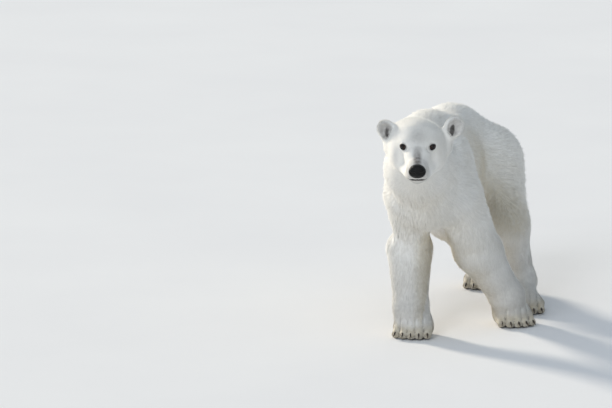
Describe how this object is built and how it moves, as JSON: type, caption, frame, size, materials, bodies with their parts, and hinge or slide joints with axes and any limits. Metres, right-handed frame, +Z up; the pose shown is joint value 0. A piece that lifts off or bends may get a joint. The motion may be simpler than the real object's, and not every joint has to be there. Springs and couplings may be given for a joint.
{
  "type": "polar bear model",
  "caption": "Life-size still model of a young polar bear standing on all fours, left foreleg set wide and head turned slightly to its left.",
  "frame": {"origin": "middle of the bear's outline on the floor that it stands on", "axes": "+Z up, -Y the way the body faces, +X the bear's left"},
  "size_m": [0.8044, 2.0472, 1.1687],
  "materials": {
    "coat": "warm white fur in short overlapping tufts, matt",
    "nose": "black, finely pebbled, slightly moist",
    "eye": "very dark brown under a wet clear cornea",
    "claw": "dark horn, satin"
  },
  "bodies": {
    "root": {"head": "coat", "neck": "coat", "trunk": "coat", "tail": "coat", "ear_left": "coat", "ear_right": "coat", "fore_right_upper_arm": "coat", "fore_right_forearm": "coat", "fore_right_paw": "coat", "fore_left_upper_arm": "coat", "fore_left_forearm": "coat", "fore_left_paw": "coat", "hind_right_thigh": "coat", "hind_right_shank": "coat", "hind_right_paw": "coat", "hind_left_thigh": "coat", "hind_left_shank": "coat", "hind_left_paw": "coat", "nose": "nose", "eye_left": "eye", "eye_right": "eye", "fore_right_claw_1": "claw", "fore_right_claw_2": "claw", "fore_right_claw_3": "claw", "fore_right_claw_4": "claw", "fore_right_claw_5": "claw", "fore_left_claw_1": "claw", "fore_left_claw_2": "claw", "fore_left_claw_3": "claw", "fore_left_claw_4": "claw", "fore_left_claw_5": "claw", "hind_right_claw_1": "claw", "hind_right_claw_2": "claw", "hind_right_claw_3": "claw", "hind_right_claw_4": "claw", "hind_right_claw_5": "claw", "hind_left_claw_1": "claw", "hind_left_claw_2": "claw", "hind_left_claw_3": "claw", "hind_left_claw_4": "claw", "hind_left_claw_5": "claw"}
  },
  "joints": []
}
